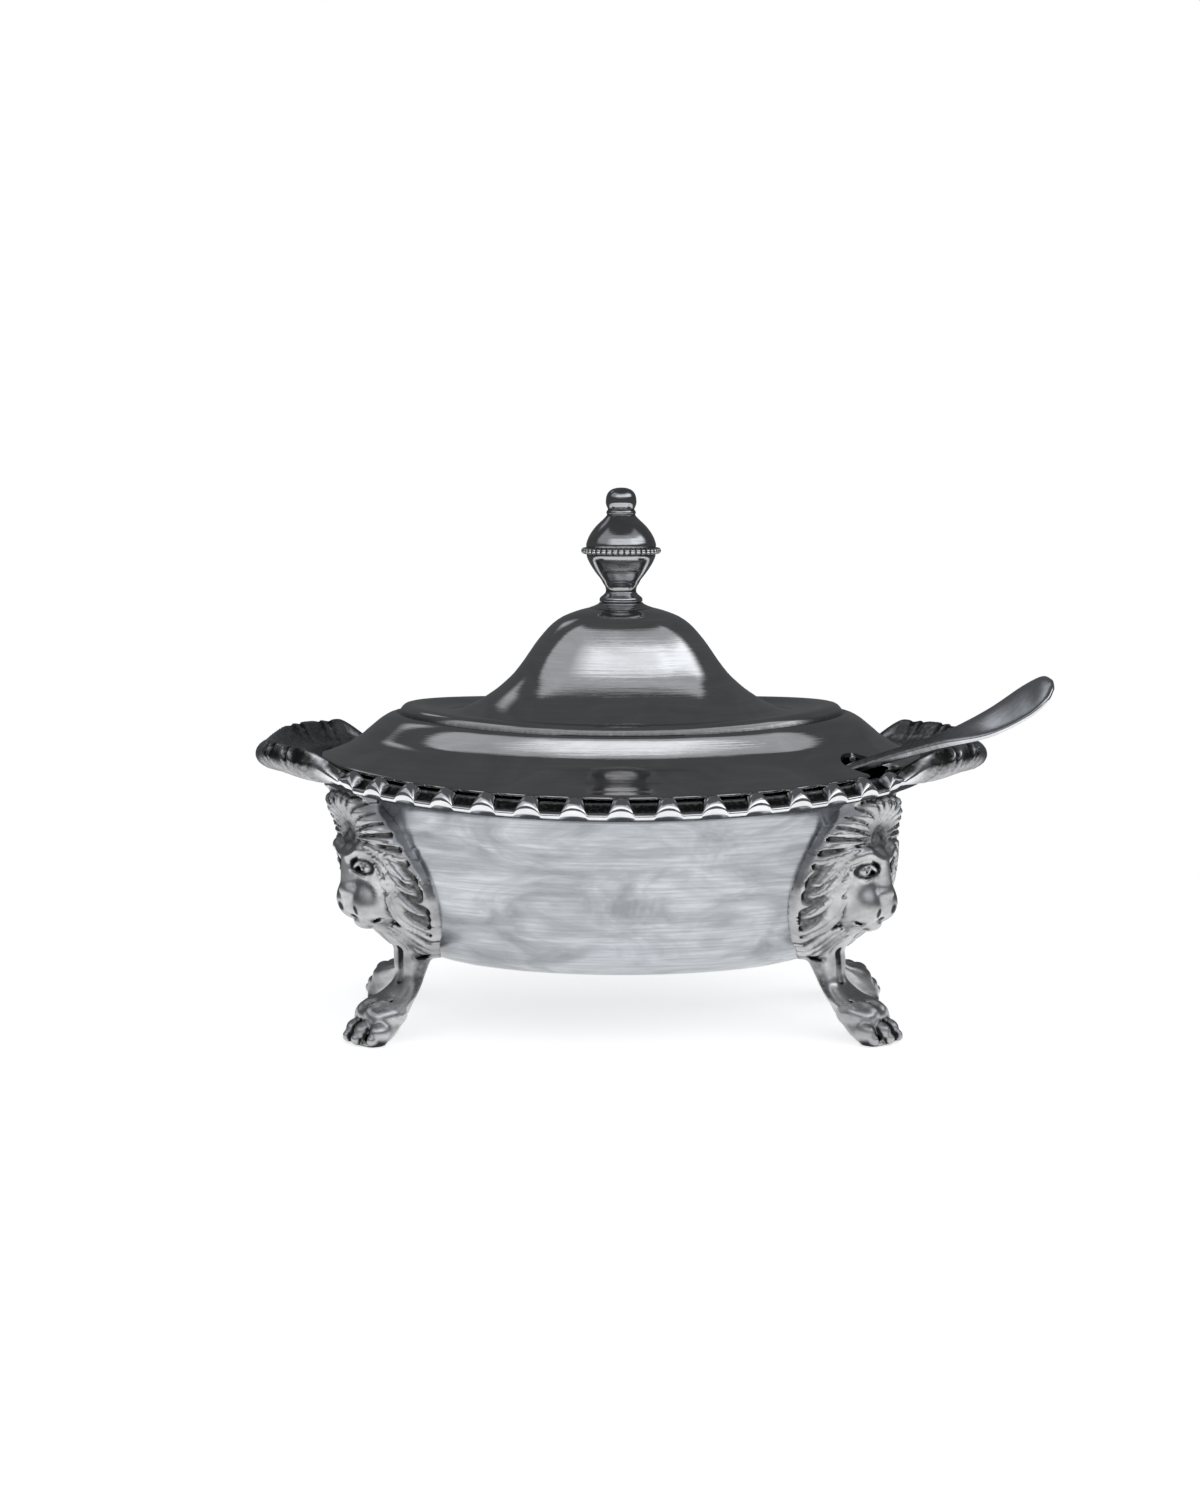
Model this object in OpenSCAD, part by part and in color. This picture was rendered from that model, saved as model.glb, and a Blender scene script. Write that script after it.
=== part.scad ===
// Oval silver mustard pot on four lion-mask legs, with a glass liner, a lift-off lid and a spoon
// Origin: floor level under the middle of the bowl. +X points at the spoon's end, -Y at the viewer, +Z up.
// All sizes are in millimetres.

/* [Overall] */
// Length over the two ears
ear_length = 120; // [115:1:126]
// How far the boat-shaped rim rises from its middle to its ear tips
end_rise = 3.6; // [2.4:0.1:4.2]
// Length less width of the oval, the same on every oval
oval_drop = 23.8; // [22:0.2:25]

/* [Bowl] */
// Half-length of the bowl's side at mid height
bowl_half_length = 43.6; // [42.8:0.1:44.2]
// Height of the bowl's underside above the floor
bowl_floor = 11.2; // [10.4:0.2:12]
// Height of the flange's underside
flange_z = 39.1; // [38.7:0.1:39.5]
// Thickness of the bowl's sheet
bowl_wall = 0.9; // [0.8:0.05:1.1]
// Distance from the bowl's side out to the lid's edge
flange_reach = 5.7; // [5.4:0.1:6]

/* [Rim border] */
// Width of the gadroon border outside the lid's edge
border_width = 2.9; // [2.6:0.1:3.3]
// Gadroons along each long side
gadroons = 15; // [13:1:17]
// Depth of the hollow between two gadroons
gadroon_depth = 0.9; // [0.6:0.1:1.1]
// Angle from the long axis to an ear's corner
ear_angle = 30.5; // [29:0.5:32]
// Width of an ear at its corner, outside the lid's edge
ear_corner_width = 8; // [7:0.25:8.75]
// How far an ear's corner curls up
ear_corner_lift = 3; // [2.4:0.1:3]
// How far an ear's tip curls up
ear_tip_lift = 0.6; // [0.4:0.1:1]

/* [Legs] */
// Place of a leg's root round the bowl's oval
leg_place = 27.3; // [26:0.1:29]
// Depth of a leg's root inside the bowl's side
leg_inset = 1.3; // [1:0.1:1.6]
// Angle that a leg faces, from the long axis
leg_angle = 35; // [30:1:40]

/* [Liner] */
// Thickness of the glass
liner_wall = 1.2; // [1:0.1:1.3]
// Gap between the glass and the bowl
liner_gap = 0.45; // [0.4:0.05:0.55]

/* [Lid] */
// Height of the lid's lower edge above the floor
lid_z = 42.2; // [42.1:0.05:42.4]
// Height of the lid from its edge to its collar
lid_height = 26.6; // [25.6:0.2:27.6]
// Thickness of the lid's sheet
lid_wall = 0.6; // [0.5:0.05:0.8]
// Gap under the lid's edge, and between its bezel and the glass
lid_gap = 0.35; // [0.3:0.05:0.45]
// Width of the spoon notch at its inner end
notch_width = 7; // [6.4:0.2:7.6]
// Angle of the notch from the long axis, towards the viewer
notch_angle = 15; // [12:1:18]

/* [Finial] */
// Height of the finial
finial_height = 18.6; // [17.6:0.2:19.6]
// Radius of the finial's bead ring, to the middle of the beads
bead_ring_radius = 6; // [5.8:0.05:6.2]
// Beads on the ring
beads = 40; // [32:2:44]
// Diameter of the threaded stud
stud_d = 2.6; // [2.2:0.1:3]
// Clearance around the stud in the pieces that it goes through
stud_gap = 0.15; // [0.1:0.05:0.25]

/* [Spoon] */
// Place of the notch and the spoon's pivot round the lid's oval
spoon_place = 33.4; // [33:0.1:33.8]
// Size of the pivot's oval, as a share of the lid's
spoon_share = 0.9475; // [0.94:0.0025:0.955]
// Height of the spoon's stem in the notch
spoon_z = 45.6; // [45.6:0.1:45.8]
// Angle of the spoon from the long axis, towards the viewer
spoon_angle = 5; // [3:0.5:7]
// How far the spoon lies over on its side, its face towards the viewer
spoon_roll = 30; // [28:0.5:32]
// Half-thickness of the spoon's stem
stem_half = 0.75; // [0.6:0.05:0.8]

/* [Hidden] */
$fn = 64;
solder_gap = 0.05;
half_ears = ear_length / 2;
half_drop = oval_drop / 2;
segments = 60;
collar_r = 4.6;
lid_half_length = bowl_half_length + flange_reach;
ridge_a = 0.68 * lid_half_length;
border_inner = 1.4;
bezel_low = flange_z + 0.6;
lid_top = lid_z + lid_height;
seat_z = lid_z - lid_gap;
finial_z = lid_top + 0.8;
bead_r = 0.52;
bead_ring_z = finial_z + 0.45 * finial_height;
washer_t = 0.6;
nut_t = 2.2;
leg_scale = flange_z / 39.1;
leg_root = bowl_half_length - leg_inset;
leg_x = leg_root * cos(leg_place);
leg_y = half_width(leg_root) * sin(leg_place);
spoon_x = spoon_share * lid_half_length * cos(spoon_place);
spoon_y = spoon_share * half_width(lid_half_length) * sin(spoon_place);
spoon_drop = spoon_z - bowl_floor - bowl_wall - liner_gap - liner_wall;

// Rise of the rim towards the ends, fading out down to the bowl's underside
function rise(x, z) =
    end_rise * pow(x / half_ears, 2) * min(1, max(0, (z - bowl_floor) / (flange_z - bowl_floor)));

function risen(p) = [p.x, p.y, p.z + rise(p.x, p.z)];

// Half-width of the oval whose half-length is a: an even border below the ridge, a circle at the collar
function half_width(a) = a - half_drop * min(1, max(0, (a - collar_r) / (ridge_a - collar_r)));

// One oval ring of a shell, from a profile point of half-length and height, its sides drawn in by a tuck
function ring(p, tuck = 0) = [
    for (i = [0 : segments - 1])
        let (t = 360 * i / segments)
        risen([p[0] * cos(t), (half_width(p[0]) - tuck) * sin(t), p[1]])
];

// A smooth curve through the points, with n steps in each span
function blend(a, b, c, d, t) =
    b + 0.5 * t * (c - a + t * (2 * a - 5 * b + 4 * c - d + t * (3 * (b - c) + d - a)));

function curve(p, n) = let (e = len(p) - 1) [
    for (i = [0 : e - 1], k = [0 : n - 1])
        blend(p[max(i - 1, 0)], p[i], p[i + 1], p[min(i + 2, e)], k / n),
    p[e],
];

// A profile moved sideways by d, towards the left of its direction
function inset(p, d) = let (e = len(p) - 1) [
    for (i = [0 : e])
        let (along = p[min(i + 1, e)] - p[max(i - 1, 0)])
        p[i] + d * [-along.y, along.x] / norm(along)
];

function reverse(p) = [for (i = [len(p) - 1 : -1 : 0]) p[i]];

// A solid skinned over a stack of rings, closed into a loop or capped at both ends
module skin(rings, loop = false) {
    n = len(rings[0]);
    count = len(rings);
    spans = loop ? count : count - 1;
    sides = [
        for (j = [0 : spans - 1], i = [0 : n - 1])
            let (
                a = j * n + i,
                b = j * n + (i + 1) % n,
                c = ((j + 1) % count) * n + (i + 1) % n,
                d = ((j + 1) % count) * n + i
            )
            each [[a, c, b], [a, d, c]]
    ];
    caps = loop ? [] : [[for (i = [0 : n - 1]) i], [for (i = [n - 1 : -1 : 0]) (count - 1) * n + i]];
    polyhedron(points = [for (r = rings) each r], faces = concat(sides, caps));
}

// The bowl's outside, from its underside to the flange's edge, and the part of it that the liner follows
side_points = [
    [24, bowl_floor], [32, bowl_floor + 0.9], [bowl_half_length - 5, bowl_floor + 4.6],
    [bowl_half_length - 1.4, bowl_floor + 11], [bowl_half_length, bowl_floor + 18],
    [bowl_half_length + 0.8, flange_z - 3.6], [bowl_half_length + 2.6, flange_z - 0.6],
];
bowl_outside = concat(side_points, [[lid_half_length + 1, flange_z]]);
liner_line = concat(side_points, [[lid_half_length - border_inner - 2 * liner_gap, flange_z]]);
liner_outside = inset(liner_line, bowl_wall + liner_gap);
liner_inside = inset(liner_line, bowl_wall + liner_gap + liner_wall);

// The lid's outside, from its edge over the cove and the ridge to the dome, as shares of its half-length and height
lid_shares = [
    [0.913, 0.086], [0.848, 0.173], [0.799, 0.256], [0.742, 0.308], [0.714, 0.335], [0.68, 0.35], [0.621, 0.338],
    [0.5355, 0.342], [0.4745, 0.387], [0.414, 0.474], [0.357, 0.5865], [0.288, 0.759], [0.227, 0.895], [0.154, 0.966],
];
lid_outside = [
    [lid_half_length, lid_z + lid_wall],
    for (p = lid_shares) [p[0] * lid_half_length, lid_z + p[1] * lid_height],
    [collar_r, lid_top],
];
lid_inside = inset(lid_outside, lid_wall);
// How far the lid's long sides are drawn in below the ridge, where they are steeper than its ends
lid_tucks = [
    [0.738, 0], [0.771, 0.023], [0.8, 0.043], [0.824, 0.057], [0.848, 0.067], [0.88, 0.051],
    [0.913, 0.022], [0.955, 0],
];
function lid_ring(p) = ring(p, lid_half_length * lookup(p[0] / lid_half_length, lid_tucks));
bezel_a = lookup(bezel_low, [for (p = liner_inside) [p.y, p.x]]) - 1.5 * lid_gap;
bezel_top = lookup(bezel_a, lid_inside) - solder_gap;

module bowl() {
    color("gainsboro")
        skin([for (p = concat(bowl_outside, reverse(inset(bowl_outside, bowl_wall)))) ring(p)]);
}

// Angle from the nearer end of the oval
function end_angle(t) = min([for (e = [0, 180, 360]) abs(t - e)]);

// 1 on the ears, 0 along the sides, with a short step between them
function ear(t) = let (s = min(1, max(0, (ear_angle + 2.5 - end_angle(t)) / 5))) s * s * (3 - 2 * s);

// Width of the border outside the lid's edge, widening from an ear's corner to its tip
function border_reach(t) =
    let (
        tip_width = half_ears - lid_half_length,
        ear_width = ear_corner_width + (tip_width - ear_corner_width) * cos(90 * min(1, end_angle(t) / ear_angle))
    )
    border_width + ear(t) * (ear_width - border_width);

// Curl of the border upwards: low at an ear's tip, highest at its corner and gone a little beyond it
function curl(t) =
    lookup(end_angle(t) / ear_angle, [
        [0.13, ear_tip_lift], [0.3, 0.47 * ear_corner_lift], [0.4, 0.69 * ear_corner_lift],
        [0.56, 0.84 * ear_corner_lift], [0.8, 0.9 * ear_corner_lift], [0.92, ear_corner_lift],
        [0.97, 0.88 * ear_corner_lift], [1.03, 0.45 * ear_corner_lift], [1.1, 0],
    ]);

// Depth of the hollow at an angle: the gadroons follow each other along the sides only
function hollow(t) =
    gadroon_depth * (1 - ear(t)) * pow(sin(gadroons * 180 * (t - 90) / (180 - 2 * ear_angle)), 2);

// The border's cross-section at an angle, as distance outside the lid's edge and height
function border_section(t) =
    let (
        reach = border_reach(t) - hollow(t),
        lift = curl(t),
        crest = max(1, reach - 2)
    ) [
        [-border_inner, seat_z], [0.4, seat_z], [crest / 2 + 0.3, seat_z + 0.3 * lift],
        [crest, seat_z + 0.6 - hollow(t) / 2 + lift], [reach - 0.5, seat_z - 0.1 + lift],
        [reach, seat_z - 1 + lift], [reach - 0.7, seat_z - 1.8 + lift * 0.9],
        [0.9, flange_z + bowl_wall + solder_gap], [-border_inner, flange_z + bowl_wall + solder_gap],
    ];

// A point at a distance outside the lid's edge, square to the oval
function outside(t, w, z) =
    let (
        b = half_width(lid_half_length),
        square = [cos(t) / lid_half_length, sin(t) / b],
        p = [lid_half_length * cos(t), b * sin(t)] + w * square / norm(square)
    )
    risen([p.x, p.y, z]);

module rim_border() {
    steps = 200;
    sections = [for (i = [0 : steps - 1]) border_section(360 * i / steps)];
    color("silver")
        skin([
            for (j = [len(sections[0]) - 1 : -1 : 0])
                [for (i = [0 : steps - 1]) outside(360 * i / steps, sections[i][j][0], sections[i][j][1])]
        ], loop = true);
}

module ball(p, r) {
    translate(p)
        sphere(r, $fn = 14);
}

// A rounded bar between two balls
module limb(p, r1, q, r2) {
    hull() {
        ball(p, r1);
        ball(q, r2);
    }
}

// A rounded web over two pairs of balls, one pair on each side of the leg's middle
module web(p, r1, q, r2) {
    hull()
        for (side = [-1, 1]) {
            ball([p.x, side * p.y, p.z], r1);
            ball([q.x, side * q.y, q.z], r2);
        }
}

// One cast leg with its root at the origin, facing +X: mane, mask, shin and paw
module leg_form() {
    hull() {
        web([1.8, 6, 36.4], 3.4, [-1.4, 9.8, 30.4], 2.6);
        web([-2.6, 11, 25], 2.6, [-3.6, 9.8, 20.6], 2.6);
    }
    web([2.2, 2.4, 30.4], 4, [2, 2.6, 23.4], 3);
    web([-3.6, 8, 20.6], 2.6, [-5.6, 4.4, 16], 2.4);
    web([-5.6, 4.4, 16], 2.4, [-5.1, 2, 13], 1.9);
    web([-5.1, 2, 13], 1.9, [-3.7, 1.8, 9.4], 1.8);
    web([-3.7, 1.8, 9.4], 1.8, [1.2, 1.8, 5], 2.8);
    limb([4.6, 0, 30.4], 1.8, [5, 0, 26.4], 1.5);
    limb([2.4, 0, 21.4], 2.2, [0, 0, 21], 2.2);
    for (toe = [-1.5 : 1 : 1.5])
        limb([1.6, toe * 2, 4.8], 2.2, [5.4, toe * 2.4, 1.6], 1.9);
}

module leg(mirror_x, mirror_y) {
    color("lightgray")
        mirror([mirror_x, 0, 0])
            mirror([0, mirror_y, 0])
                difference() {
                    translate([leg_x, -leg_y, 0])
                        rotate(-leg_angle)
                            scale(leg_scale)
                                leg_form();
                    skin([
                        for (p = concat(inset(bowl_outside, -solder_gap), [[lid_half_length + 2, 60]]))
                            ring(p)
                    ]);
                    translate([0, -60, -10])
                        cube([100, 60, 10]);
                }
}

module leg_front_right() { leg(0, 0); }

module leg_front_left() { leg(1, 0); }

module leg_back_right() { leg(0, 1); }

module leg_back_left() { leg(1, 1); }

module glass_liner() {
    color("lightsteelblue", 0.6)
        skin([for (p = concat(liner_outside, reverse(liner_inside))) ring(p)]);
}

// The way of the spoon's stem through the lid's edge, widening outwards
module notch(inner_end) {
    translate([spoon_x, -spoon_y, lid_z - 10])
        rotate(-notch_angle)
            linear_extrude(30)
                hull() {
                    translate([inner_end + notch_width / 2, 0])
                        circle(d = notch_width);
                    translate([16, 0])
                        circle(d = notch_width + 4);
                }
}

module stud_hole() {
    translate([0, 0, lid_top - 10])
        cylinder(h = 30, d = stud_d + 2 * stud_gap);
}

module lid() {
    color("silver")
        difference() {
            skin([for (p = concat(reverse(lid_inside), lid_outside)) lid_ring(p)]);
            notch(-4.6);
            stud_hole();
        }
}

module lid_bezel() {
    bezel_in = bezel_a - 0.8;
    section = [[bezel_a, bezel_low], [bezel_a, bezel_top], [bezel_in, bezel_top], [bezel_in, bezel_low]];
    color("silver")
        difference() {
            skin([for (p = section) lid_ring(p)], loop = true);
            notch(-12);
        }
}

module finial_collar() {
    color("silver")
        translate([0, 0, lid_top + solder_gap])
            difference() {
                rotate_extrude()
                    polygon([[0, 0], [4.2, 0], [4.2, 0.25], [3.5, 0.75 - solder_gap], [0, 0.75 - solder_gap]]);
                translate([0, 0, -1])
                    cylinder(h = 4, d = stud_d + 2 * stud_gap);
            }
}

// The turned outline of the finial from foot to tip, as radius and share of its height
finial_turning = curve([
    [3.7, 0], [3.6, 0.045], [2.5, 0.09], [2.6, 0.13], [3.3, 0.2], [4.8, 0.31], [5.6, 0.4],
    [5.7, 0.5], [5.2, 0.58], [3.9, 0.67], [2.5, 0.74], [2.1, 0.82],
], 3);

module finial() {
    color("silver")
        translate([0, 0, finial_z])
            difference() {
                union() {
                    rotate_extrude()
                        polygon(concat(
                            [[0, 0]],
                            [for (p = finial_turning) [p[0], p[1] * finial_height]],
                            [[0, 0.82 * finial_height]]
                        ));
                    translate([0, 0, finial_height - 2.5])
                        sphere(2.5);
                }
                translate([0, 0, -1])
                    cylinder(h = 7, d = stud_d + 2 * stud_gap);
                translate([0, 0, bead_ring_z - finial_z])
                    rotate_extrude()
                        translate([bead_ring_radius, 0])
                            circle(bead_r + solder_gap);
            }
}

module finial_beading() {
    color("gainsboro")
        translate([0, 0, bead_ring_z])
            union() {
                rotate_extrude()
                    translate([bead_ring_radius, 0])
                        circle(bead_r * 0.7);
                for (i = [0 : beads - 1])
                    rotate(360 * i / beads)
                        translate([bead_ring_radius, 0, 0])
                            sphere(bead_r);
            }
}

module finial_stud() {
    low = lid_top - lid_wall - washer_t - nut_t - 1;
    color("darkgray")
        translate([0, 0, low])
            cylinder(h = finial_z + 5.5 - low, d = stud_d);
}

module finial_washer() {
    color("darkgray")
        translate([0, 0, lid_top - lid_wall - solder_gap - washer_t])
            difference() {
                cylinder(h = washer_t, d = 6.4);
                translate([0, 0, -1])
                    cylinder(h = 4, d = stud_d + 2 * stud_gap);
            }
}

module finial_nut() {
    color("darkgray")
        translate([0, 0, lid_top - lid_wall - 2 * solder_gap - washer_t - nut_t])
            difference() {
                cylinder(h = nut_t, d = 5.4, $fn = 6);
                translate([0, 0, -1])
                    cylinder(h = 4, d = stud_d + 2 * stud_gap);
            }
}

// Stations of the spoon from bowl to handle end: distance outside the notch as a share of the bowl's half-length,
// height over the stem there as a share of the way down to the glass, half-width, half-thickness and depth of the dish
spoon_points = [
    [-1.204, -0.979, 0.7, 0.4, 0.1], [-1.181, -0.9855, 2.6, 0.5, 0.8], [-1.112, -0.9985, 4.9, 0.5, 2],
    [-1.009, -1.005, 6, 0.5, 2.8], [-0.883, -0.9725, 5.2, 0.5, 2.2], [-0.78, -0.857, 2.6, 0.65, 0.7],
    [-0.665, -0.676, 1.2, stem_half, 0], [-0.344, -0.238, 1.05, stem_half, 0], [0, 0, 1.05, stem_half, 0],
    [0.2295, 0.128, 1.3, stem_half, 0], [0.409, 0.246, 3.3, 0.65, 0.1], [0.532, 0.374, 4.2, 0.6, 0.2],
    [0.599, 0.4535, 3.4, 0.6, 0.1], [0.626, 0.4845, 1.2, 0.4, 0],
];
spoon_stations = curve([
    for (p = spoon_points) [p[0] * bowl_half_length, p[1] * spoon_drop, p[2], p[3], p[4]]
], 2);

// One cross-section of the spoon, square to its path
function spoon_ring(i, n = 14) =
    let (
        e = len(spoon_stations) - 1,
        s = spoon_stations[i],
        along = spoon_stations[min(i + 1, e)] - spoon_stations[max(i - 1, 0)],
        up = [-along[1], along[0]] / norm([along[0], along[1]])
    ) [
        for (k = [0 : n - 1])
            let (
                across = cos(360 * k / n),
                high = s[3] * sin(360 * k / n) - s[4] * (1 - across * across)
            )
            [s[0] + high * up[0], s[2] * across, s[1] + high * up[1]]
    ];

module spoon() {
    color("silver")
        translate([spoon_x, -spoon_y, spoon_z])
            rotate([spoon_roll, 0, -spoon_angle])
                skin([for (i = [0 : len(spoon_stations) - 1]) spoon_ring(i)]);
}

bowl();
rim_border();
leg_front_right();
leg_front_left();
leg_back_right();
leg_back_left();
glass_liner();
lid();
lid_bezel();
finial_collar();
finial();
finial_beading();
finial_stud();
finial_washer();
finial_nut();
spoon();
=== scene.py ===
"""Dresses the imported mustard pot: fine silver pieces, sculpted lion legs, glass, a stage and a camera."""

import math

import bmesh
import bpy
import numpy as np
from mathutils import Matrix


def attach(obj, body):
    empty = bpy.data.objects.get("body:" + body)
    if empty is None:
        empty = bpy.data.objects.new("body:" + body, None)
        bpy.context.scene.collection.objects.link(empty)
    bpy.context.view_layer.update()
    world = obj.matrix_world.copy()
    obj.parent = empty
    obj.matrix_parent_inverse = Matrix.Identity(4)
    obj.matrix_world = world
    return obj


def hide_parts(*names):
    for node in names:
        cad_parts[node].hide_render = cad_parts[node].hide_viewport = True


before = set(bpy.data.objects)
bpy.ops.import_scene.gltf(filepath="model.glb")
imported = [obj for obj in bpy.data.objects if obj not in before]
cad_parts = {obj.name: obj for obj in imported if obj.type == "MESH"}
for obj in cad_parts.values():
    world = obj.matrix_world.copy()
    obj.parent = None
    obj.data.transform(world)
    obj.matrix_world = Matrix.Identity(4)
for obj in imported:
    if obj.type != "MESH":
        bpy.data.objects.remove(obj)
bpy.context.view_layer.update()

# Sizes of the solids, in millimetres
MM = 0.001
HALF_EARS = 60
END_RISE = 3.6
HALF_DROP = 11.9
BOWL_A = 43.6
BOWL_FLOOR = 11.2
FLANGE_Z = 39.1
BOWL_WALL = 0.9
BORDER_WIDTH = 2.9
BORDER_INNER = 1.4
GADROONS = 15
EAR_ANGLE = 30.5
EAR_CORNER_WIDTH = 8
EAR_CORNER_LIFT = 3
EAR_TIP_LIFT = 0.6
LINER_WALL = 1.2
LINER_GAP = 0.45
LID_A = 49.3
LID_Z = 42.2
LID_HEIGHT = 26.6
LID_WALL = 0.6
LID_GAP = 0.35
COLLAR_R = 4.6
RIDGE_A = 0.68 * LID_A
SEAT_Z = LID_Z - LID_GAP
LID_TOP = LID_Z + LID_HEIGHT
STUD_HOLE_R = 1.45
FINIAL_Z = LID_TOP + 0.8
FINIAL_HEIGHT = 18.6
BEAD_RING_R = 6
BEAD_R = 0.52
BEADS = 40
NOTCH_WIDTH = 7
NOTCH_ANGLE = math.radians(15)
SPOON_X = 39
SPOON_Y = -19.5
SPOON_Z = 45.6
SPOON_ANGLE = math.radians(-5)
SPOON_ROLL = math.radians(30)
LEG_X = 37.6
LEG_Y = 13.94
LEG_ANGLE = math.radians(-35)


def rise(x, z):
    """How far the boat-shaped rim lifts a point, fading out down to the bowl's underside."""
    share = np.clip((z - BOWL_FLOOR) / (FLANGE_Z - BOWL_FLOOR), 0, 1)
    return END_RISE * (x / HALF_EARS) ** 2 * share


def half_width(a):
    """Half-width of the oval whose half-length is a."""
    return a - HALF_DROP * np.clip((a - COLLAR_R) / (RIDGE_A - COLLAR_R), 0, 1)


def spline(points, steps, closed=False):
    """A smooth curve through the points, with the given steps in each span."""
    p = np.asarray(points, float)
    if closed:
        a, b, c, d = np.roll(p, 1, 0), p, np.roll(p, -1, 0), np.roll(p, -2, 0)
    else:
        padded = np.vstack([p[:1], p, p[-1:]])
        a, b, c, d = padded[:-3], padded[1:-2], padded[2:-1], padded[3:]
    t = (np.arange(steps) / steps)[None, :, None]
    a, b, c, d = (q[:, None, :] for q in (a, b, c, d))
    smooth = b + 0.5 * t * (c - a + t * (2 * a - 5 * b + 4 * c - d + t * (3 * (b - c) + d - a)))
    smooth = smooth.reshape(-1, p.shape[1])
    return smooth if closed else np.vstack([smooth, p[-1:]])


def inset(points, d):
    """A profile moved sideways by d, towards the left of its direction."""
    p = np.asarray(points, float)
    padded = np.vstack([p[:1], p, p[-1:]])
    along = padded[2:] - padded[:-2]
    along /= np.linalg.norm(along, axis=1, keepdims=True)
    return p + d * np.stack([-along[:, 1], along[:, 0]], 1)


def oval_rings(profile, segments):
    """Rows of points on ovals, from a profile of half-length, height and tuck of the long sides."""
    angle = np.linspace(0, 2 * np.pi, segments, endpoint=False)[None, :]
    a = profile[:, :1]
    x = a * np.cos(angle)
    tuck = profile[:, 2:3] if profile.shape[1] > 2 else 0
    y = (half_width(a) - tuck) * np.sin(angle)
    z = np.broadcast_to(profile[:, 1:2], x.shape)
    return np.stack([x, y, z + rise(x, z)], 2)


def turned_rings(profile, segments):
    """Rows of points on circles, from a profile of radius and height."""
    angle = np.linspace(0, 2 * np.pi, segments, endpoint=False)[None, :]
    r = profile[:, :1]
    z = np.broadcast_to(profile[:, 1:2], (len(profile), segments))
    return np.stack([r * np.cos(angle), r * np.sin(angle), z], 2)


def grid_faces(rows, columns, loop=False, caps=False):
    """Faces over rows of points that close round, with the rows closed into a loop or capped."""
    j = np.arange(rows if loop else rows - 1)[:, None]
    i = np.arange(columns)[None, :]
    upper = (j + 1) % rows
    after = (i + 1) % columns
    corners = [j * columns + i, j * columns + after, upper * columns + after, upper * columns + i]
    faces = np.stack(corners, 2).reshape(-1, 4).tolist()
    if caps:
        faces.append(list(range(columns))[::-1])
        faces.append(list(range((rows - 1) * columns, rows * columns)))
    return faces


def smoothstep(low, high, value):
    """0 below low and 1 above high, with a smooth ramp between them."""
    t = np.clip((value - low) / (high - low), 0, 1)
    return t * t * (3 - 2 * t)


def piece(name, points, faces, material, body, nodes, oxide_and_shade=None, sharp=None):
    """A named mesh piece in millimetres that stands for CAD nodes and rides on a body."""
    points = np.asarray(points, float).reshape(-1, 3)
    mesh = bpy.data.meshes.new(name)
    mesh.from_pydata((points * MM).tolist(), [], faces)
    mesh.shade_smooth()
    if sharp:
        mesh.set_sharp_from_angle(angle=math.radians(sharp))
    # Per-point darkening that the silver reads: oxide, and painted shade
    values = np.zeros(len(points)) if oxide_and_shade is None else np.ravel(oxide_and_shade)
    mesh.attributes.new("oxide_and_shade", "FLOAT", "POINT").data.foreach_set("value", values.astype(np.float32))
    mesh.materials.append(material)
    obj = bpy.data.objects.new(name, mesh)
    bpy.context.collection.objects.link(obj)
    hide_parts(*nodes)
    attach(obj, body)
    return obj


class Graph:
    """Builds the node tree of one material or of the world."""

    def __init__(self, owner, shader):
        owner.use_nodes = True
        self.owner = owner
        self.tree = owner.node_tree
        self.shader = self.tree.nodes[shader]

    def feed(self, socket, value):
        """Links another socket to this one, or gives it a plain value."""
        if isinstance(value, bpy.types.NodeSocket):
            self.tree.links.new(value, socket)
        else:
            socket.default_value = value

    def node(self, kind, inputs=None, **settings):
        node = self.tree.nodes.new(kind)
        for key, value in settings.items():
            setattr(node, key, value)
        for key, value in (inputs or {}).items():
            self.feed(node.inputs[key], value)
        return node

    def noise(self, vector, scale, detail=4.0, roughness=0.6, distortion=0.0):
        values = {"Vector": vector, "Scale": scale, "Detail": detail}
        values.update({"Roughness": roughness, "Distortion": distortion})
        return self.node("ShaderNodeTexNoise", values).outputs["Fac"]

    def ramp(self, value, low, high, start=0.0, end=1.0):
        values = {"Value": value, "From Min": low, "From Max": high, "To Min": start, "To Max": end}
        return self.node("ShaderNodeMapRange", values).outputs["Result"]

    def math(self, operation, a, b):
        return self.node("ShaderNodeMath", {0: a, 1: b}, operation=operation).outputs[0]

    def mix(self, factor, a, b):
        """A blend of two colours. The sockets go by number, because the node has several of each name."""
        return self.node("ShaderNodeMix", {0: factor, 6: a, 7: b}, data_type="RGBA").outputs[2]

    def window(self, value, low, high, soft):
        """1 between low and high, falling off over soft on each side of both."""
        rising = self.ramp(value, low - soft, low + soft)
        falling = self.ramp(value, high - soft, high + soft, 1.0, 0.0)
        return self.math("MULTIPLY", rising, falling)

    def scaled(self, vector, scale):
        return self.node("ShaderNodeMapping", {"Vector": vector, "Scale": scale}).outputs["Vector"]

    def set(self, **values):
        """Feeds sockets of the shader, named with underscores for spaces."""
        for key, value in values.items():
            self.feed(self.shader.inputs[key.replace("_", " ")], value)


def material_graph(name):
    """The node tree of a new material."""
    return Graph(bpy.data.materials.new(name), "Principled BSDF")


# Grain of the silver, in cells per metre, and the dark colour of oxide and painted shade in its hollows and
# shaded places
CLOUD_GRAIN = (70, 70, 170)
WAVE_GRAIN = (55, 55, 150)
SPECK_GRAIN = 1400
OXIDE_AND_SHADE_COLOUR = (0.045, 0.044, 0.044, 1)
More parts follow.
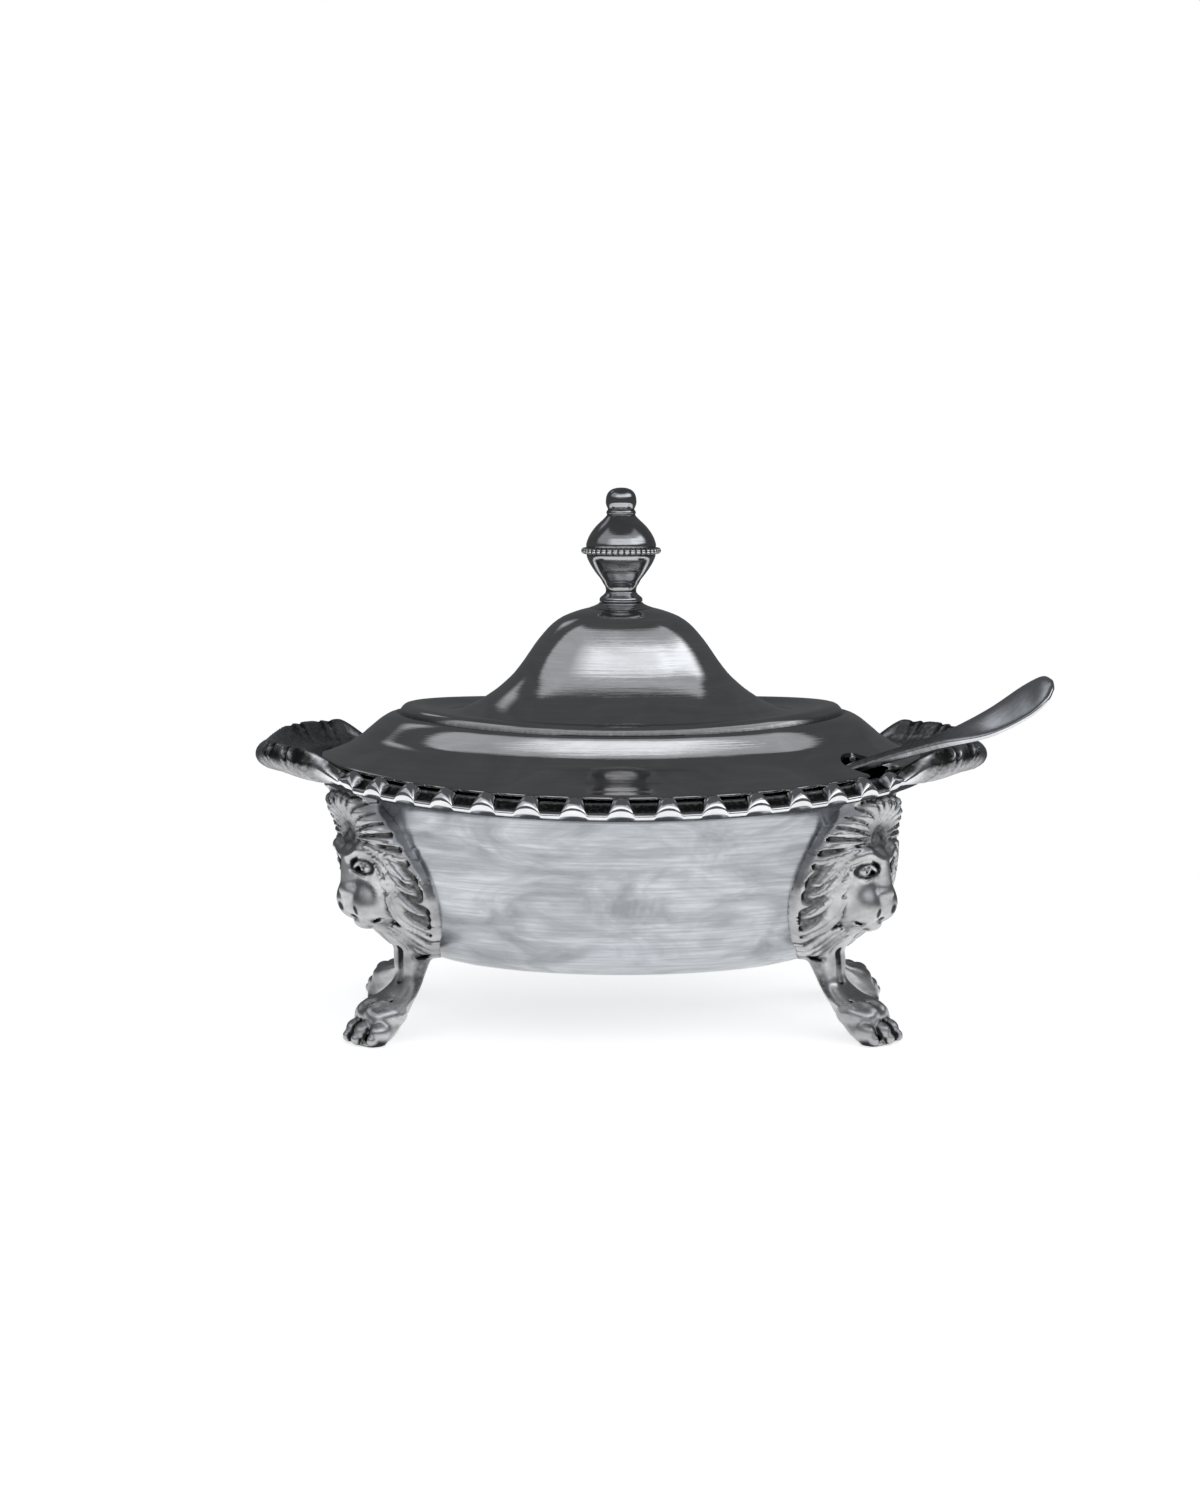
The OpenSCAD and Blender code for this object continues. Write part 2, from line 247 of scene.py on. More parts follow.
# Ramps of the silver: two levels of a noise or of the per-point oxide and painted shade, and the values at
# them
SPECK_RAMP = (0.3, 0.6, 0.85, 1.1)
CLOUD_RAMP = (0.35, 0.68, 0, 1)
STREAK_RAMP = (0.42, 0.62, 0, 0.45)
OXIDE_AND_SHADE_RAMP = (0.12, 0.75, 0, 1)
OXIDE_DULL_RAMP = (0.2, 0.9, 0, 0.28)
# Levels between which clouds and streaks change the roughness, and by how many times
CLOUD_DULL = (0.3, 0.75)
CLOUD_ROUGH = (0.75, 1.5)
STREAK_DULL = (0.35, 0.7)
STREAK_ROUGH = 0.5
# Relief of the streaks, and of the bump in metres
STREAK_HEIGHT = 0.35
BUMP_STRENGTH = 0.25
BUMP_HEIGHT = 0.0002
# Grain of the liner's smears and of the fixing's tool marks and stains
SMEAR_GRAIN = 120
TOOL_GRAIN = (200, 200, 6000)
STAIN_GRAIN = 500


def silver(name, tone, shade, rough, streak, wobble=0.0):
    """Silver plate with polishing streaks, smudges, wavy sheet, and dark oxide and painted shade where the
    per-point darkening is high.
    """
    graph = material_graph(name)
    where = graph.node("ShaderNodeTexCoord").outputs["Object"]
    lines = graph.noise(graph.scaled(where, streak), 1, 5, 0.65)
    cloud = graph.noise(graph.scaled(where, CLOUD_GRAIN), 1, 5, 0.55, 1.4)
    speck = graph.noise(where, SPECK_GRAIN, 2, 0.5)
    oxide_and_shade = graph.node("ShaderNodeAttribute", attribute_name="oxide_and_shade").outputs["Fac"]
    speckled_oxide_and_shade = graph.math("MULTIPLY", oxide_and_shade, graph.ramp(speck, *SPECK_RAMP))
    color = graph.mix(graph.ramp(cloud, *CLOUD_RAMP), tone, shade)
    color = graph.mix(graph.ramp(lines, *STREAK_RAMP), color, shade)
    # Painted shade and oxide: the colour darkens where the per-point darkening is high
    color = graph.mix(graph.ramp(speckled_oxide_and_shade, *OXIDE_AND_SHADE_RAMP), color, OXIDE_AND_SHADE_COLOUR)
    dull = graph.ramp(cloud, *CLOUD_DULL, *(rough * times for times in CLOUD_ROUGH))
    dull = graph.math("ADD", dull, graph.ramp(speckled_oxide_and_shade, *OXIDE_DULL_RAMP))
    dull = graph.math("ADD", dull, graph.ramp(lines, *STREAK_DULL, 0, rough * STREAK_ROUGH))
    height = graph.math("MULTIPLY", lines, STREAK_HEIGHT)
    if wobble:
        wave = graph.noise(graph.scaled(where, WAVE_GRAIN), 1, 2, 0.45, 0.6)
        height = graph.math("ADD", height, graph.math("MULTIPLY", wave, wobble))
    relief = {"Strength": BUMP_STRENGTH, "Distance": BUMP_HEIGHT, "Height": height}
    bump = graph.node("ShaderNodeBump", relief)
    graph.set(Base_Color=color, Roughness=dull, Normal=bump.outputs["Normal"], Metallic=1.0)
    return graph.owner


def glass(name):
    """Clear glass with faint smears."""
    graph = material_graph(name)
    where = graph.node("ShaderNodeTexCoord").outputs["Object"]
    smear = graph.noise(where, SMEAR_GRAIN, 3, 0.5, 0.8)
    graph.set(Roughness=graph.ramp(smear, 0.4, 0.75, 0.015, 0.09), Transmission_Weight=1.0, IOR=1.5)
    graph.set(Base_Color=(0.93, 0.97, 0.98, 1))
    return graph.owner


def dull_brass(name):
    """Turned fixing metal with tool marks and stains."""
    graph = material_graph(name)
    where = graph.node("ShaderNodeTexCoord").outputs["Object"]
    rings = graph.noise(graph.scaled(where, TOOL_GRAIN), 1, 3)
    stain = graph.noise(where, STAIN_GRAIN, 4)
    color = graph.mix(graph.ramp(stain, 0.35, 0.7), (0.62, 0.5, 0.28, 1), (0.3, 0.22, 0.12, 1))
    graph.set(Base_Color=color, Roughness=graph.ramp(rings, 0.3, 0.7, 0.25, 0.5), Metallic=1.0)
    return graph.owner


# Each silver has its tone, its shade, its roughness and the grain of its polishing streaks.
# The bowl's raised sheet is wavy as well.
BOWL_WAVES = 1.2
BOWL_SILVER = silver(
    "bowl_silver", (0.56, 0.58, 0.605, 1), (0.29, 0.303, 0.32, 1), 0.16, (90, 90, 2600), BOWL_WAVES
)
LID_SILVER = silver("lid_silver", (0.63, 0.625, 0.62, 1), (0.49, 0.485, 0.48, 1), 0.055, (60, 60, 3000))
BORDER_SILVER = silver("border_silver", (0.84, 0.84, 0.85, 1), (0.68, 0.68, 0.69, 1), 0.1, (400, 400, 900))
LEG_SILVER = silver("leg_silver", (0.62, 0.62, 0.625, 1), (0.38, 0.38, 0.385, 1), 0.27, (500, 500, 900))
FINIAL_SILVER = silver("finial_silver", (0.5, 0.5, 0.51, 1), (0.34, 0.34, 0.345, 1), 0.09, (150, 150, 4000))
BEAD_SILVER = silver("bead_silver", (0.8, 0.8, 0.8, 1), (0.6, 0.59, 0.58, 1), 0.12, (900, 900, 900))
SPOON_SILVER = silver("spoon_silver", (0.74, 0.75, 0.77, 1), (0.58, 0.59, 0.61, 1), 0.12, (150, 1200, 1200))
LINER_GLASS = glass("liner_glass")
FIXING_METAL = dull_brass("fixing_metal")

# The bowl and its liner, thin shells whose profiles start at the middle of the floor
OVAL_SEGMENTS = 224
LINER_SEGMENTS = 160
CREASE_ANGLE = 50
FLOOR_POINTS = [[0.6, BOWL_FLOOR], [8, BOWL_FLOOR], [16, BOWL_FLOOR]]
SIDE_POINTS = [
    [24, BOWL_FLOOR], [32, BOWL_FLOOR + 0.9], [BOWL_A - 5, BOWL_FLOOR + 4.6],
    [BOWL_A - 1.4, BOWL_FLOOR + 11], [BOWL_A, BOWL_FLOOR + 18], [BOWL_A + 0.8, FLANGE_Z - 3.6],
    [BOWL_A + 2.6, FLANGE_Z - 0.6],
]
BOWL_LINE = np.array(FLOOR_POINTS + SIDE_POINTS + [[LID_A + 1, FLANGE_Z]])
LINER_LINE = np.array(FLOOR_POINTS + SIDE_POINTS + [[LID_A - BORDER_INNER - 2 * LINER_GAP, FLANGE_Z]])


def shell_profile(line, gap, wall, steps):
    """Outside and back along the inside of a thin shell over a profile line."""
    outer = spline(inset(line, gap), steps)
    inner = spline(inset(line, gap + wall), steps)
    return np.vstack([outer, inner[::-1]])


def add_shell(name, profile, segments, material, body, nodes):
    """A piece that is a thin oval shell."""
    rows = oval_rings(profile, segments)
    faces = grid_faces(*rows.shape[:2], caps=True)
    piece(name, rows, faces, material, body, nodes, sharp=CREASE_ANGLE)


bowl_profile = shell_profile(BOWL_LINE, 0, BOWL_WALL, 5)
liner_profile = shell_profile(LINER_LINE, BOWL_WALL + LINER_GAP, LINER_WALL, 4)
add_shell("silver_bowl", bowl_profile, OVAL_SEGMENTS, BOWL_SILVER, "pot", ["bowl"])
add_shell("clear_liner", liner_profile, LINER_SEGMENTS, LINER_GLASS, "liner", ["glass_liner"])

# The rim border: sections at many angles, blended between lobe, hollow and ear.
# Points of a section: distance from the lid's edge, height, share of the reach, and of the lift for an ear.
LOBE = [
    [-1.4, -1.8, 0], [0.9, -1.8, 0], [-0.9, -1.9, 1], [-0.2, -1.7, 1], [0.12, -1.1, 1],
    [0.05, -0.4, 1], [-0.35, 0.3, 1], [-1.0, 0.78, 1], [-1.7, 0.95, 1], [0.7, 0.7, 0],
    [0.4, 0.15, 0], [-0.3, 0, 0], [-1.4, 0, 0],
]
HOLLOW = [
    [-1.4, -1.8, 0], [0.9, -1.8, 0], [-0.8, -2.25, 1], [-0.12, -2.2, 1], [0.1, -1.8, 1],
    [-0.08, -1.4, 1], [-0.6, -1.25, 1], [-1.25, -1.1, 1], [-1.75, -0.75, 1], [0.6, -0.4, 0],
    [0.38, -0.05, 0], [-0.3, 0, 0], [-1.4, 0, 0],
]
EAR = [
    [-1.4, -1.8, 0, 0], [0.9, -1.8, 0, 0], [-3.4, -3.0, 1, 0.5], [-1.1, -2.7, 1, 0.85], [-0.2, -1.9, 1, 1],
    [0, -1.0, 1, 1], [-0.25, -0.1, 1, 1], [-0.85, 0.6, 1, 1], [-1.7, 0.8, 1, 0.98], [-2.7, 0.35, 1, 0.86],
    [-4.8, -0.4, 1, 0.3], [0.5, -0.25, 0, 0], [-1.4, 0, 0, 0],
]
# Curl of an ear by its angle from the tip, as shares of the ear's angle and of its lift at the corner
EAR_CURL = np.array([
    [0.13, EAR_TIP_LIFT / EAR_CORNER_LIFT], [0.3, 0.47], [0.4, 0.69], [0.56, 0.84], [0.8, 0.9],
    [0.92, 1], [0.97, 0.88], [1.03, 0.45], [1.1, 0],
])
# For each point of a section: share in an ear's lobes, painted shade in a hollow and painted shade on an
# ear
EAR_CUT = [0, 0, 0, 0.05, 0.2, 0.5, 1, 1, 0.7, 0.3, 0.1, 0, 0]
HOLLOW_SHADE = [0, 0, 0, 0, 0, 0.05, 0.6, 0.75, 0.75, 0.7, 0.5, 0.3, 0.2]
EAR_SHADE = [0.5, 0.5, 0.55, 0.55, 0.55, 0.5, 0.25, 0.2, 0.4, 0.5, 0.5, 0.45, 0.4]
BORDER_STEPS = 2160
CURL_SMOOTHING = 8
# Gadroons along the sides, as shares of their spacing
GADROON_HALF = 0.33
GADROON_TAPER = 0.012
SIDE_LIFT = 0.9
# Lobes and flutes of the ears: counts, depths, painted shade, and the angles from the tip where they fade
EAR_BLEND = 2.5
EAR_LOBES = 7
EAR_LOBE_CUT = 0.75
EAR_LOBE_DROP = 0.2
EAR_LOBE_SLANT = 0.14
EAR_LIP_POINT = 4
EAR_LOBE_SHADE = 0.7
EAR_LOBE_WANDER = 0.3
EAR_LOBE_WAVE = 0.8
LOBED_FROM = (9, 17)
EAR_FLUTES = 30
FLUTE_DEPTH = 0.06
FLUTE_SLANT = 4
FLUTE_SHADE = 0.25
FLUTED_FROM = (4, 9)
FLUTED_TO = (24, 16)


def border():
    """Gadroons along the sides, and a lobed, fluted ear at each end."""
    t = np.arange(BORDER_STEPS) * 360 / BORDER_STEPS
    from_end = np.min([abs(t - end) for end in (0, 180, 360)], axis=0)
    # Reach and lift of the ears round the rim
    ear = smoothstep(EAR_ANGLE + EAR_BLEND, EAR_ANGLE - EAR_BLEND, from_end)
    along = np.cos(np.radians(90 * np.minimum(1, from_end / EAR_ANGLE)))
    tip_width = HALF_EARS - LID_A
    ear_reach = EAR_CORNER_WIDTH + (tip_width - EAR_CORNER_WIDTH) * along
    reach = BORDER_WIDTH + ear * (ear_reach - BORDER_WIDTH)
    lift = EAR_CORNER_LIFT * np.interp(from_end / EAR_ANGLE, EAR_CURL[:, 0], EAR_CURL[:, 1])
    weights = np.hanning(2 * CURL_SMOOTHING + 1)
    padded = np.r_[lift[-CURL_SMOOTHING:], lift, lift[:CURL_SMOOTHING]]
    lift = np.convolve(padded, weights / weights.sum(), "valid")
    # Places of gadroons, lobes and flutes
    from_side = np.where(t < 180, t - 90, t - 270)
    phase = GADROONS * from_side / (180 - 2 * EAR_ANGLE)
    from_lobe = np.abs(phase - np.round(phase))
    ear_phase = EAR_LOBES * from_end / EAR_ANGLE + EAR_LOBE_WANDER * np.sin(EAR_LOBE_WAVE * from_end)
    lobed = smoothstep(*LOBED_FROM, from_end)
    fluted = smoothstep(*FLUTED_FROM, from_end) * smoothstep(*FLUTED_TO, from_end)
    sections = []
    shades = []
    for k, (lobe, dip, fan) in enumerate(zip(LOBE, HOLLOW, EAR)):
        half = GADROON_HALF - GADROON_TAPER * k
        bulge = np.sqrt(np.clip(1 - (from_lobe / half) ** 2, 0, 1))
        width = bulge * (lobe[0] + lobe[2] * reach) + (1 - bulge) * (dip[0] + dip[2] * reach)
        height = bulge * lobe[1] + (1 - bulge) * dip[1] + SIDE_LIFT * lift * lobe[2]
        slant = EAR_LOBE_SLANT * (k - EAR_LIP_POINT)
        groove = EAR_CUT[k] * np.abs(np.sin(np.pi * (ear_phase + slant))) ** 2 * lobed
        flute_phase = EAR_FLUTES * from_end / EAR_ANGLE + FLUTE_SLANT * slant
        flute = EAR_CUT[k] * np.sin(2 * np.pi * flute_phase) * fluted
        fan_width = fan[0] + fan[2] * reach - EAR_LOBE_CUT * groove + FLUTE_DEPTH * flute
        fan_height = fan[1] + fan[3] * lift - EAR_LOBE_DROP * groove + FLUTE_DEPTH * flute
        width = width + ear * (fan_width - width)
        height = height + ear * (fan_height - height)
        sections.append(np.stack([width, height], 1))
        # Painted shade in the gadroons' hollows, in the ears' grooves and flutes, and over the ears
        in_fan = EAR_LOBE_SHADE * groove + FLUTE_SHADE * np.clip(-flute, 0, 1) + EAR_SHADE[k]
        shades.append((1 - ear) * (1 - bulge) * HOLLOW_SHADE[k] + ear * in_fan)
    count = len(sections)
    sections = spline(np.array(sections).reshape(count, -1), 2, closed=True).reshape(-1, BORDER_STEPS, 2)
    shades = spline(np.array(shades), 2, closed=True)
    # Sections set square to the lid's edge
    angle = np.radians(t)
    edge = np.stack([LID_A * np.cos(angle), half_width(LID_A) * np.sin(angle)], 1)
    square = np.stack([np.cos(angle) / LID_A, np.sin(angle) / half_width(LID_A)], 1)
    square /= np.linalg.norm(square, axis=1, keepdims=True)
    flat = edge[None] + sections[:, :, :1] * square[None]
    z = SEAT_Z + sections[:, :, 1]
    points = np.stack([flat[:, :, 0], flat[:, :, 1], z + rise(flat[:, :, 0], z)], 2)
    faces = grid_faces(len(points), BORDER_STEPS, loop=True)
    oxide_and_shade = np.clip(shades, 0, 1)
    piece("gadroon_border", points, faces, BORDER_SILVER, "pot", ["rim_border"], oxide_and_shade)


border()

# The lid with its ridge, groove and dome: half-length, height and tuck of the long sides
LID_POINTS = [
    [49.25, 0.1, 0], [49.35, 0.4, 0], [49.0, 0.68, 0], [48.4, 0.86, 0], [47, 1.42, 0.2], [45, 2.3, 1.25],
    [43.4, 3.35, 2.65], [42.4, 4.1, 3.35], [41.8, 4.7, 3.5], [40.6, 5.8, 2.85], [39.4, 6.85, 2.1],
    [38.1, 7.7, 1.15], [37.0, 8.1, 0.4], [36.55, 8.12, 0], [36.3, 8.5, -0.05], [35.9, 9.05, -0.15],
    [35.4, 9.45, -0.2], [34.5, 9.66, -0.1], [33.5, 9.66, 0], [32.2, 9.42, 0], [30.6, 9.0, 0],
    [28.5, 8.8, 0], [26.4, 9.2, 0], [24.9, 9.85, 0], [23.4, 10.65, 0], [21.9, 11.65, 0],
    [20.4, 12.75, 0], [19, 14.0, 0], [17.6, 15.4, 0], [15.9, 17.65, 0], [14.2, 20.2, 0],
    [12.7, 22.15, 0], [11.2, 23.75, 0], [9.5, 24.95, 0], [7.6, 25.75, 0], [6, 26.25, 0],
    [4.6, 26.5, 0], [STUD_HOLE_R, LID_HEIGHT, 0],
]
LID_LIP = 1
LID_GROOVE_A = 36.55
LID_GROOVE_WIDTH = 0.5
# Painted shade in the lid's groove, near the collar and all over its inside
LID_GROOVE_SHADE = 0.55
LID_TOP_SHADE = 0.5
LID_TOP_FADE = (6, 4.4)
LID_INSIDE_SHADE = 0.15
# The bezel under the lid
BEZEL_SEGMENTS = 192
BEZEL_LOW = FLANGE_Z + 0.6
BEZEL_SIDE_GAP = 1.5 * LID_GAP
BEZEL_WALL = 0.8
BEZEL_CHAMFER = 0.1
BEZEL_TOP_GAP = 0.1
# The spoon's notch, measured outwards from the spoon's pivot
LID_NOTCH_END = -4.6
BEZEL_NOTCH_END = -12
NOTCH_OUTER_END = 16
NOTCH_FLARE = 2
NOTCH_CREASE = 40
CUTTER_SIDES = 48
CUTTER_HEIGHTS = (LID_Z - 10, LID_Z + 20)


def cut_notch(obj, inner_end):
    """Cuts the spoon's way through the lid's edge, widening outwards."""
    cosine, sine = math.cos(NOTCH_ANGLE), math.sin(NOTCH_ANGLE)
    turn = np.array([[cosine, sine], [-sine, cosine]])
    half = NOTCH_WIDTH / 2
    cutter_mesh = bmesh.new()
    for center, radius in ((inner_end + half, half), (NOTCH_OUTER_END, half + NOTCH_FLARE)):
        for angle in np.linspace(0, 2 * np.pi, CUTTER_SIDES, endpoint=False):
            flat = turn @ np.array([center + radius * math.cos(angle), radius * math.sin(angle)])
            for z in CUTTER_HEIGHTS:
                cutter_mesh.verts.new(np.array([SPOON_X + flat[0], SPOON_Y + flat[1], z]) * MM)
    bmesh.ops.convex_hull(cutter_mesh, input=cutter_mesh.verts)
    mesh = bpy.data.meshes.new("notch")
    cutter_mesh.to_mesh(mesh)
    cutter_mesh.free()
    cutter = bpy.data.objects.new("notch", mesh)
    bpy.context.collection.objects.link(cutter)
    cut = obj.modifiers.new("notch", "BOOLEAN")
    cut.operation = "DIFFERENCE"
    cut.solver = "EXACT"
    cut.object = cutter
    depsgraph = bpy.context.evaluated_depsgraph_get()
    result = bpy.data.meshes.new_from_object(obj.evaluated_get(depsgraph))
    obj.modifiers.clear()
    obj.data = result
    result.shade_smooth()
    result.set_sharp_from_angle(angle=math.radians(NOTCH_CREASE))
    bpy.data.objects.remove(cutter)
    bpy.data.meshes.remove(mesh)


def lid():
    """A thin lid with the notch cut out, with painted shade in its groove, under the collar and inside."""
    outer = spline(LID_POINTS, 2) + [0, LID_Z, 0]
    inner = np.hstack([inset(outer[:, :2], LID_WALL), outer[:, 2:]])[outer[:, 0] < LID_A - LID_LIP]
    foot = [inner[0, 0], outer[0, 1], inner[0, 2]]
    inner = np.vstack([foot, inner])
    rows = oval_rings(np.vstack([outer, inner[::-1]]), OVAL_SEGMENTS)
    in_groove = np.exp(-((outer[:, 0] - LID_GROOVE_A) / LID_GROOVE_WIDTH) ** 2) * LID_GROOVE_SHADE
    near_collar = LID_TOP_SHADE * smoothstep(*LID_TOP_FADE, outer[:, 0])
    oxide_and_shade = np.concatenate([in_groove + near_collar, np.full(len(inner), LID_INSIDE_SHADE)])
    oxide_and_shade = np.repeat(oxide_and_shade[:, None], OVAL_SEGMENTS, 1)
    faces = grid_faces(*rows.shape[:2], loop=True)
    obj = piece("domed_lid", rows, faces, LID_SILVER, "lid", ["lid"], oxide_and_shade)
    cut_notch(obj, LID_NOTCH_END)


def bezel():
    """A band under the lid that fits into the liner's mouth."""
    liner_side = inset(LINER_LINE, BOWL_WALL + LINER_GAP + LINER_WALL)[len(FLOOR_POINTS):]
    outside = np.interp(BEZEL_LOW, liner_side[:, 1], liner_side[:, 0]) - BEZEL_SIDE_GAP
    inside = outside - BEZEL_WALL
    lid_side = np.array(LID_POINTS)[::-1]
    top = LID_Z + np.interp(outside, lid_side[:, 0], lid_side[:, 1]) - LID_WALL - BEZEL_TOP_GAP
    tuck = np.interp(outside, lid_side[:, 0], lid_side[:, 2])
    middle = (BEZEL_LOW + top) / 2
    eased = BEZEL_LOW + BEZEL_CHAMFER
    section = [
        [outside - BEZEL_CHAMFER, BEZEL_LOW, tuck], [outside, eased, tuck], [outside, middle, tuck],
        [outside, top, tuck], [inside, top, tuck], [inside, middle, tuck], [inside, eased, tuck],
        [inside + BEZEL_CHAMFER, BEZEL_LOW, tuck],
    ]
    rows = oval_rings(np.array(section), BEZEL_SEGMENTS)
    faces = grid_faces(*rows.shape[:2], loop=True)
    obj = piece("bezel_band", rows, faces, LID_SILVER, "lid", ["lid_bezel"])
    cut_notch(obj, BEZEL_NOTCH_END)


lid()
bezel()

# The finial: turned collar and urn with a ball tip, and a ring of beads on a wire
COLLAR_PROFILE = [
    [STUD_HOLE_R, 0.05], [4.0, 0], [5.3, -0.2], [4.95, -0.02], [4.5, 0.14], [4.05, 0.34], [3.65, 0.56],
    [3.45, 0.72], [STUD_HOLE_R, 0.72],
]
URN_PROFILE = [
    [0.05, 0.0], [2.6, 0.0], [3.4, 0.002], [3.52, 0.02], [3.4, 0.04], [3.0, 0.058], [2.6, 0.08],
    [2.48, 0.1], [2.6, 0.135], [2.95, 0.165], [3.3, 0.2], [4.1, 0.255], [4.85, 0.315], [5.4, 0.37],
    [5.62, 0.405], [5.62, 0.43], [5.62, 0.47], [5.72, 0.5], [5.55, 0.535], [5.2, 0.58], [4.6, 0.63],
    [3.9, 0.675], [3.1, 0.715], [2.55, 0.745], [2.3, 0.765], [2.42, 0.78], [2.3, 0.8], [2.14, 0.812],
    [2.3, 0.83], [2.48, 0.86], [2.5, 0.885], [2.42, 0.92], [2.15, 0.955], [1.6, 0.982], [0.8, 0.997],
    [0.05, 1.0],
]
COLLAR_SEGMENTS = 96
URN_SEGMENTS = 128
# Creases of the urn, which get painted shade, as shares of its height
URN_CREASES = (0.1, 0.42, 0.48, 0.765, 0.812)
CREASE_WIDTH = 0.014
CREASE_SHADE = 0.6
BEAD_LEVEL = 0.45
WIRE_R = 0.7 * BEAD_R
WIRE_SIDES = 16
WIRE_SEGMENTS = 160
# Painted shade on the wire, which lies between the beads
WIRE_SHADE = 0.8


def collar():
    """The collar that flares onto the dome."""
    rows = turned_rings(spline(COLLAR_PROFILE, 3) + [0, LID_TOP], COLLAR_SEGMENTS)
    faces = grid_faces(*rows.shape[:2], loop=True)
    piece("stepped_collar", rows, faces, FINIAL_SILVER, "lid", ["finial_collar"],
          sharp=CREASE_ANGLE)


def urn():
    """The turned urn, with painted shade in its creases."""
    profile = spline(URN_PROFILE, 3)
    creases = sum(np.exp(-((profile[:, 1] - at) / CREASE_WIDTH) ** 2) for at in URN_CREASES)
    rows = turned_rings(profile * [1, FINIAL_HEIGHT] + [0, FINIAL_Z], URN_SEGMENTS)
    oxide_and_shade = np.repeat(np.clip(CREASE_SHADE * creases, 0, 1)[:, None], URN_SEGMENTS, 1)
    faces = grid_faces(*rows.shape[:2], caps=True)
    piece("urn_finial", rows, faces, FINIAL_SILVER, "lid", ["finial"], oxide_and_shade)


def beads():
    """A ring of balls on a wire with painted shade."""
    ball = bmesh.new()
    bmesh.ops.create_icosphere(ball, subdivisions=3, radius=BEAD_R)
    ball_points = np.array([v.co for v in ball.verts])
    ball_faces = np.array([[v.index for v in f.verts] for f in ball.faces])
    ball.free()
    ring_z = FINIAL_Z + BEAD_LEVEL * FINIAL_HEIGHT
    points = []
    for angle in np.linspace(0, 2 * np.pi, BEADS, endpoint=False):
        points.append(ball_points + [BEAD_RING_R * math.cos(angle), BEAD_RING_R * math.sin(angle), ring_z])
    faces = np.vstack([ball_faces + k * len(ball_points) for k in range(BEADS)]).tolist()
    turn = np.linspace(0, 2 * np.pi, WIRE_SIDES, endpoint=False)
    wire = np.stack([BEAD_RING_R + WIRE_R * np.cos(turn), ring_z + WIRE_R * np.sin(turn)], 1)
    rows = turned_rings(wire, WIRE_SEGMENTS)
    start = BEADS * len(ball_points)
    faces += [[start + i for i in quad] for quad in grid_faces(*rows.shape[:2], loop=True)]
    points = np.vstack(points + [rows.reshape(-1, 3)])
    oxide_and_shade = np.concatenate([np.zeros(start), np.full(len(points) - start, WIRE_SHADE)])
    piece("bead_ring", points, faces, BEAD_SILVER, "lid", ["finial_beading"], oxide_and_shade)


collar()
urn()
beads()
for fixing in ("finial_stud", "finial_washer", "finial_nut"):
    for material_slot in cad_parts[fixing].material_slots:
        material_slot.material = FIXING_METAL

# The spoon, from its bowl to its handle end: distance, height, half-width, half-thickness and dish
SPOON_POINTS = [
    [-52.5, -31.2, 0.7, 0.4, 0.1], [-51.5, -31.4, 2.6, 0.5, 0.8], [-48.5, -31.8, 4.9, 0.5, 2],
    [-44, -32, 6, 0.5, 2.8], [-38.5, -31, 5.2, 0.5, 2.2], [-34, -27.3, 2.6, 0.65, 0.7],
    [-29, -21.5, 1.2, 0.75, 0], [-15, -7.6, 1.05, 0.75, 0], [0, 0, 1.05, 0.75, 0], [10, 4.1, 1.3, 0.75, 0],
    [17.8, 7.8, 3.3, 0.6, 0], [23.2, 11.9, 4.2, 0.5, 0], [26.1, 14.4, 3.4, 0.5, 0],
    [27.3, 15.4, 1.2, 0.35, 0],
]
SPOON_SIDES = 32
SPOON_FLATNESS = 0.5
# Painted shade on the stem and the spoon's bowl, fading out towards the handle between these distances
STEM_SHADE = 0.5
STEM_FADE = (17, 9)


def spoon():
    """The spoon, swept along its path, then rolled and turned into the notch."""
    stations = spline(SPOON_POINTS, 6)
    path = stations[:, :2]
    along = np.gradient(path, axis=0)
    along /= np.linalg.norm(along, axis=1, keepdims=True)
    angle = np.linspace(0, 2 * np.pi, SPOON_SIDES, endpoint=False)[None, :]
    across = np.cos(angle)
    flat_top = np.sign(np.sin(angle)) * np.abs(np.sin(angle)) ** SPOON_FLATNESS
    high = stations[:, 3:4] * flat_top - stations[:, 4:5] * (1 - across**2)
    x = path[:, :1] - high * along[:, 1:]
    z = path[:, 1:] + high * along[:, :1]
    y = stations[:, 2:3] * across
    rolled_y = y * math.cos(SPOON_ROLL) - z * math.sin(SPOON_ROLL)
    rolled_z = y * math.sin(SPOON_ROLL) + z * math.cos(SPOON_ROLL)
    turned_x = x * math.cos(SPOON_ANGLE) - rolled_y * math.sin(SPOON_ANGLE)
    turned_y = x * math.sin(SPOON_ANGLE) + rolled_y * math.cos(SPOON_ANGLE)
    rows = np.stack([turned_x + SPOON_X, turned_y + SPOON_Y, rolled_z + SPOON_Z], 2)
    oxide_and_shade = np.repeat(STEM_SHADE * smoothstep(*STEM_FADE, path[:, :1]), SPOON_SIDES, 1)
    faces = grid_faces(*rows.shape[:2], caps=True)
    piece("mustard_spoon", rows, faces, SPOON_SILVER, "spoon", ["spoon"], oxide_and_shade)


spoon()

# The legs are sculpted as a distance field in the leg's own frame: u outwards, v sideways, z up.
# Step and corners of its grid, lean of the mask and the height it leans from, depth in the bowl's wall,
# and rounding of the fold down the middle, where the two mirrored halves meet.
LEG_STEP = 0.27
LEG_LOW = np.array([-11.04, -16.4, -0.6])
LEG_HIGH = np.array([9.0, 16.4, 42.6])
LEG_TILT = 0.09
LEG_TILT_Z = 8
LEG_INLET = 0.3
MIDDLE_ROUNDING = 0.01
